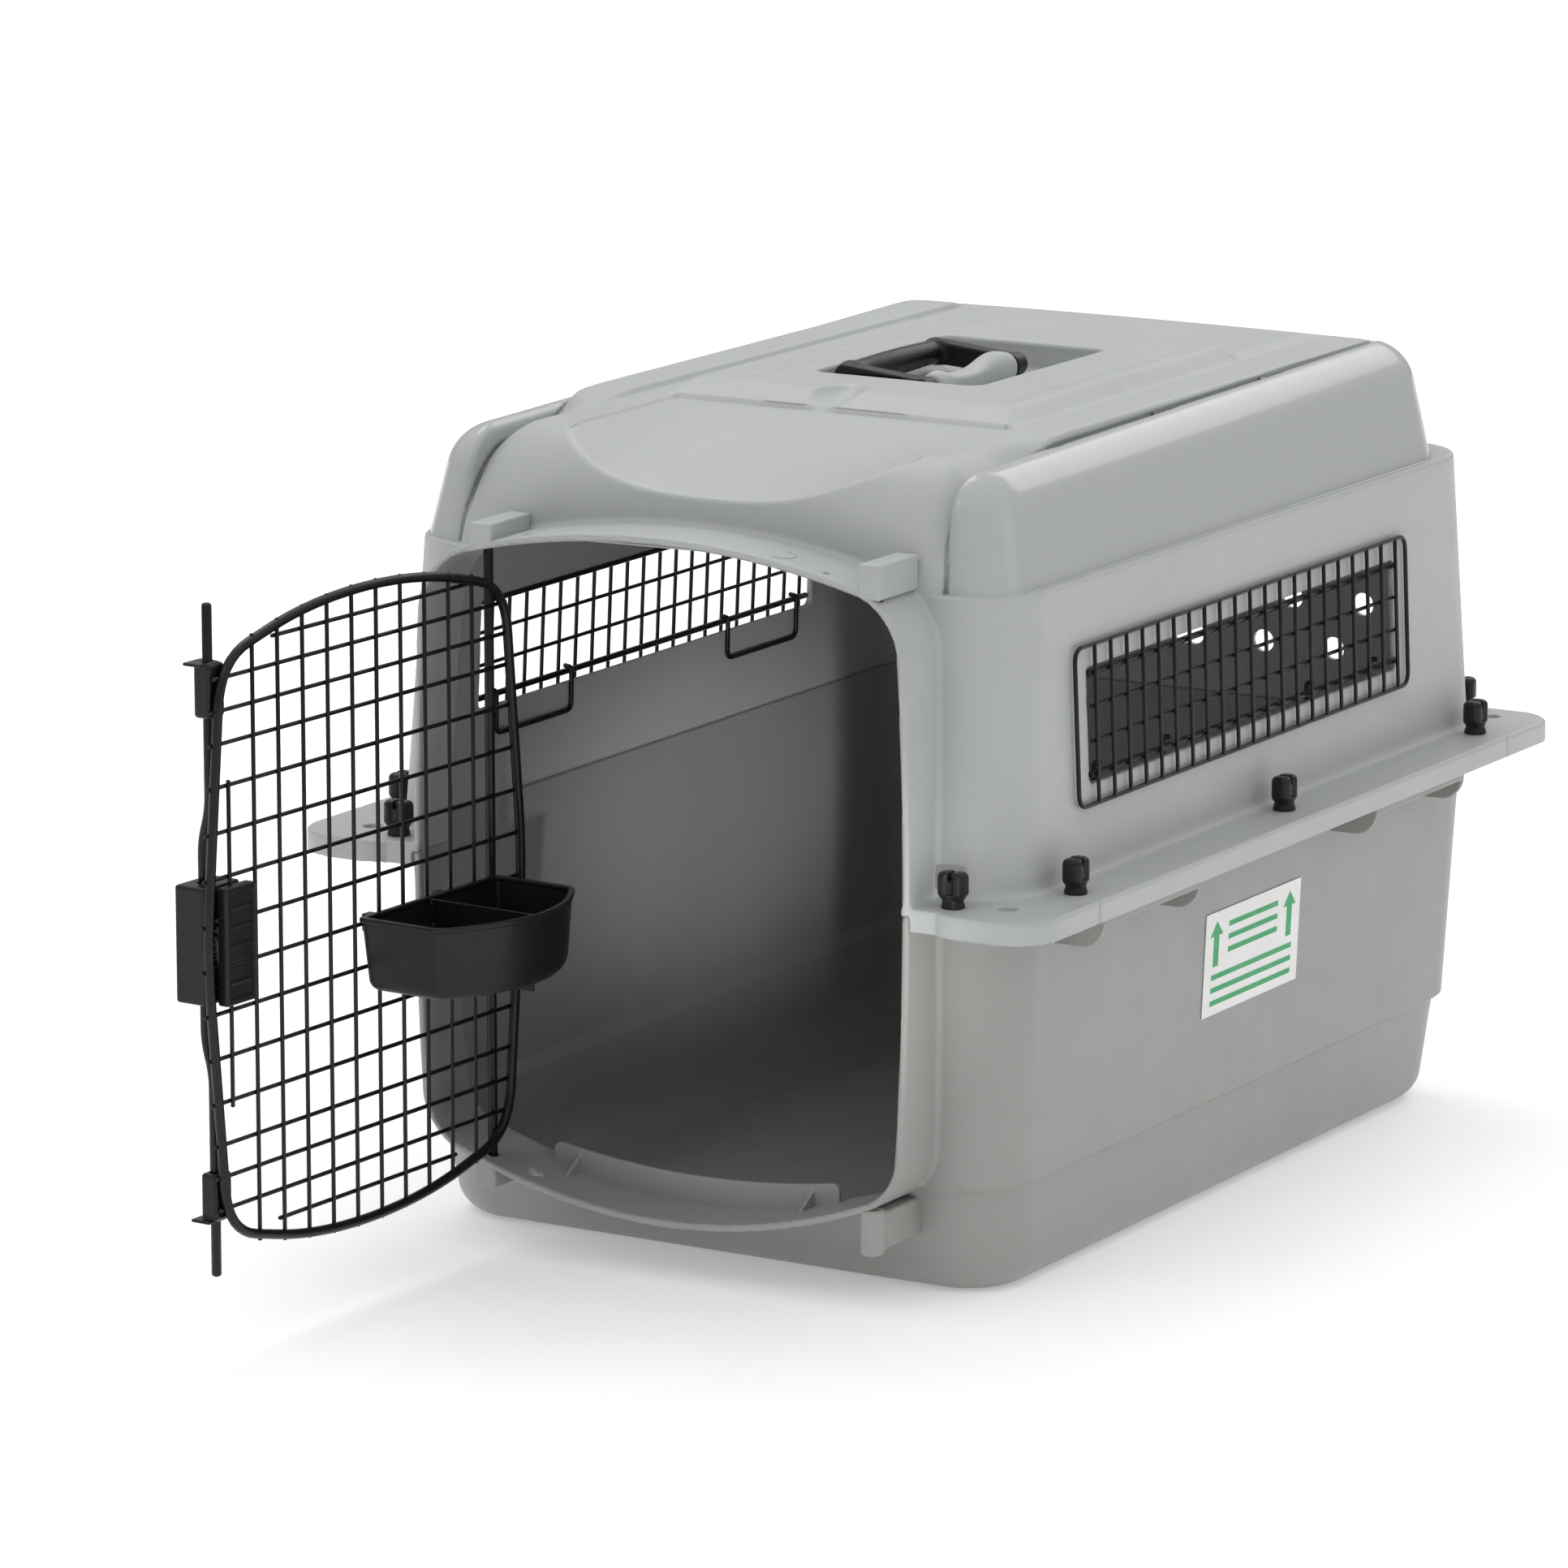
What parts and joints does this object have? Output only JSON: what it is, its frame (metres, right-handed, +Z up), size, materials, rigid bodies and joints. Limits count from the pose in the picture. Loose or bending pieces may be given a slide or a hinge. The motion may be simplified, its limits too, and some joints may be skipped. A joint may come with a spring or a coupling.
{
  "type": "pet carrier",
  "caption": "Two-shell plastic pet transport carrier with a bolted seam flange, side vent grilles, an open wire door with a squeeze latch and hang-on cup, and a folding carry handle.",
  "frame": {"origin": "on the floor, under the middle of the base", "axes": "+Z up; the doorway faces -Y; +X is to the right for someone facing the doorway"},
  "size_m": [0.521, 0.9826, 0.516],
  "materials": {
    "top_plastic": "fine grained, with glossy pods along the roof edges",
    "base_plastic": "satin",
    "black_plastic": "satin",
    "coated_wire": "gloss powder coat",
    "zinc_steel": "plain zinc",
    "label_film": "printed film"
  },
  "bodies": {
    "carrier": {"top_shell": "top_plastic", "bottom_shell": "base_plastic", "wing_nut_front_right": "black_plastic", "bolt_front_right": "zinc_steel", "wing_nut_front_left": "black_plastic", "bolt_front_left": "zinc_steel", "wing_nut_right_front": "black_plastic", "bolt_right_front": "zinc_steel", "wing_nut_left_front": "black_plastic", "bolt_left_front": "zinc_steel", "wing_nut_right_middle": "black_plastic", "bolt_right_middle": "zinc_steel", "wing_nut_left_middle": "black_plastic", "bolt_left_middle": "zinc_steel", "wing_nut_right_rear": "black_plastic", "bolt_right_rear": "zinc_steel", "wing_nut_left_rear": "black_plastic", "bolt_left_rear": "zinc_steel", "wing_nut_rear_right": "black_plastic", "bolt_rear_right": "zinc_steel", "wing_nut_rear_left": "black_plastic", "bolt_rear_left": "zinc_steel", "vent_grille_right": "coated_wire", "vent_clip_right_a": "coated_wire", "vent_clip_right_b": "coated_wire", "vent_grille_left": "coated_wire", "vent_clip_left_a": "coated_wire", "vent_clip_left_b": "coated_wire", "handling_label": "label_film", "handle_pin_front": "black_plastic", "handle_pin_rear": "black_plastic"},
    "door": {"door_panel": "coated_wire", "rod_guide_top": "coated_wire", "rod_guide_bottom": "coated_wire", "latch_housing": "black_plastic", "latch_backplate": "black_plastic", "latch_spring": "zinc_steel"},
    "upper_latch": {"latch_rod_upper": "coated_wire", "squeeze_tab_upper": "black_plastic"},
    "lower_latch": {"latch_rod_lower": "coated_wire", "squeeze_tab_lower": "black_plastic"},
    "cup": {"food_cup": "black_plastic"},
    "handle": {"carry_handle": "black_plastic"}
  },
  "joints": [
    {"name": "door_hinge", "type": "hinge", "parent": "carrier", "child": "door", "pos_m": [-0.125, -0.338, 0.241], "axis": [0, 0, 1], "range_deg": [-36, 93]},
    {"name": "upper_latch_slide", "type": "slide", "parent": "door", "child": "upper_latch", "axis": [0, 0, -1], "range_m": [0, 0.012], "stiffness_N_per_m": 400, "springref_m": -0.006, "deforming": ["latch_spring"]},
    {"name": "lower_latch_slide", "type": "slide", "parent": "door", "child": "lower_latch", "axis": [0, 0, 1], "range_m": [0, 0.012], "stiffness_N_per_m": 400, "springref_m": -0.006},
    {"name": "cup_lift", "type": "slide", "parent": "door", "child": "cup", "axis": [0, 0, 1], "range_m": [0, 0.01]},
    {"name": "handle_pivot", "type": "hinge", "parent": "carrier", "child": "handle", "pos_m": [0.015, 0, 0.503], "axis": [0, 1, 0], "range_deg": [0, 100]}
  ],
  "couplings": [
    {"joint": "lower_latch_slide", "follows": "upper_latch_slide", "ratio": 1}
  ]
}
